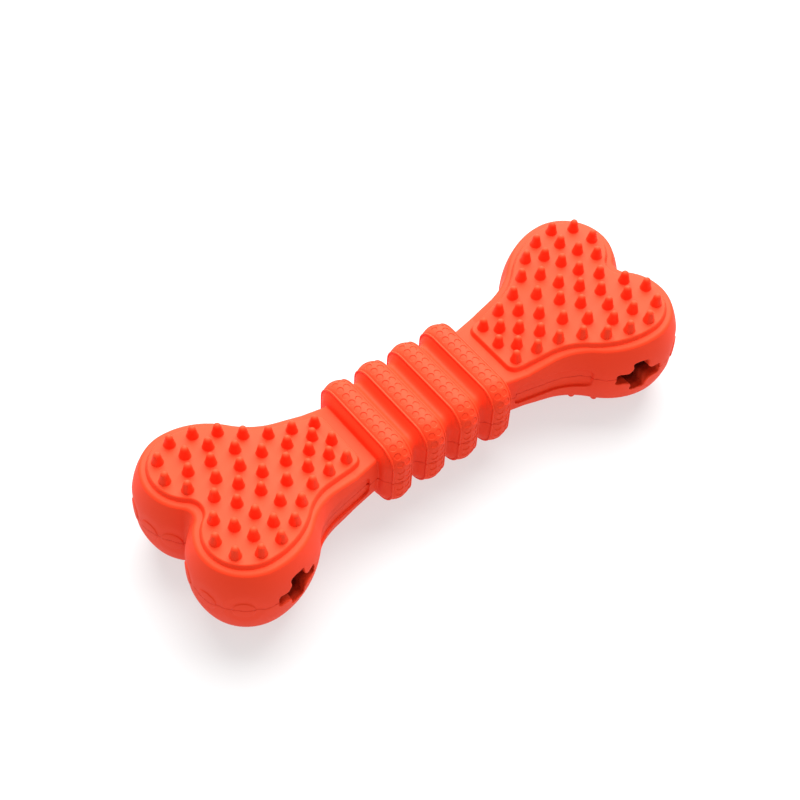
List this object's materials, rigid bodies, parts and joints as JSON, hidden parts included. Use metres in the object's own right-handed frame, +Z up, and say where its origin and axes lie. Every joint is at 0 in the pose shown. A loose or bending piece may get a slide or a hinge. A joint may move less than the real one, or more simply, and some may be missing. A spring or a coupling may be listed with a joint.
{
  "type": "rubber chew toy",
  "caption": "Bone-shaped rubber chew toy with a ribbed waist, nubbed pads above and below each head, and cross-shaped slots that open into the hollow heads.",
  "frame": {"origin": "centre of the toy, halfway along its length, on the middle plane of the seam", "axes": "+X along the toy to its right-hand head, +Y across it to the back, +Z up out of the upper pads"},
  "size_m": [0.1808, 0.0636, 0.039],
  "materials": {
    "body_rubber": "satin",
    "pad_rubber": "satin",
    "seam_cement": "satin"
  },
  "bodies": {
    "root": {"upper_half": "body_rubber", "lower_half": "body_rubber", "left_seam_bond": "seam_cement", "middle_seam_bond": "seam_cement", "right_seam_bond": "seam_cement", "upper_right_nub_pad": "pad_rubber", "upper_left_nub_pad": "pad_rubber", "lower_right_nub_pad": "pad_rubber", "lower_left_nub_pad": "pad_rubber"}
  },
  "joints": []
}
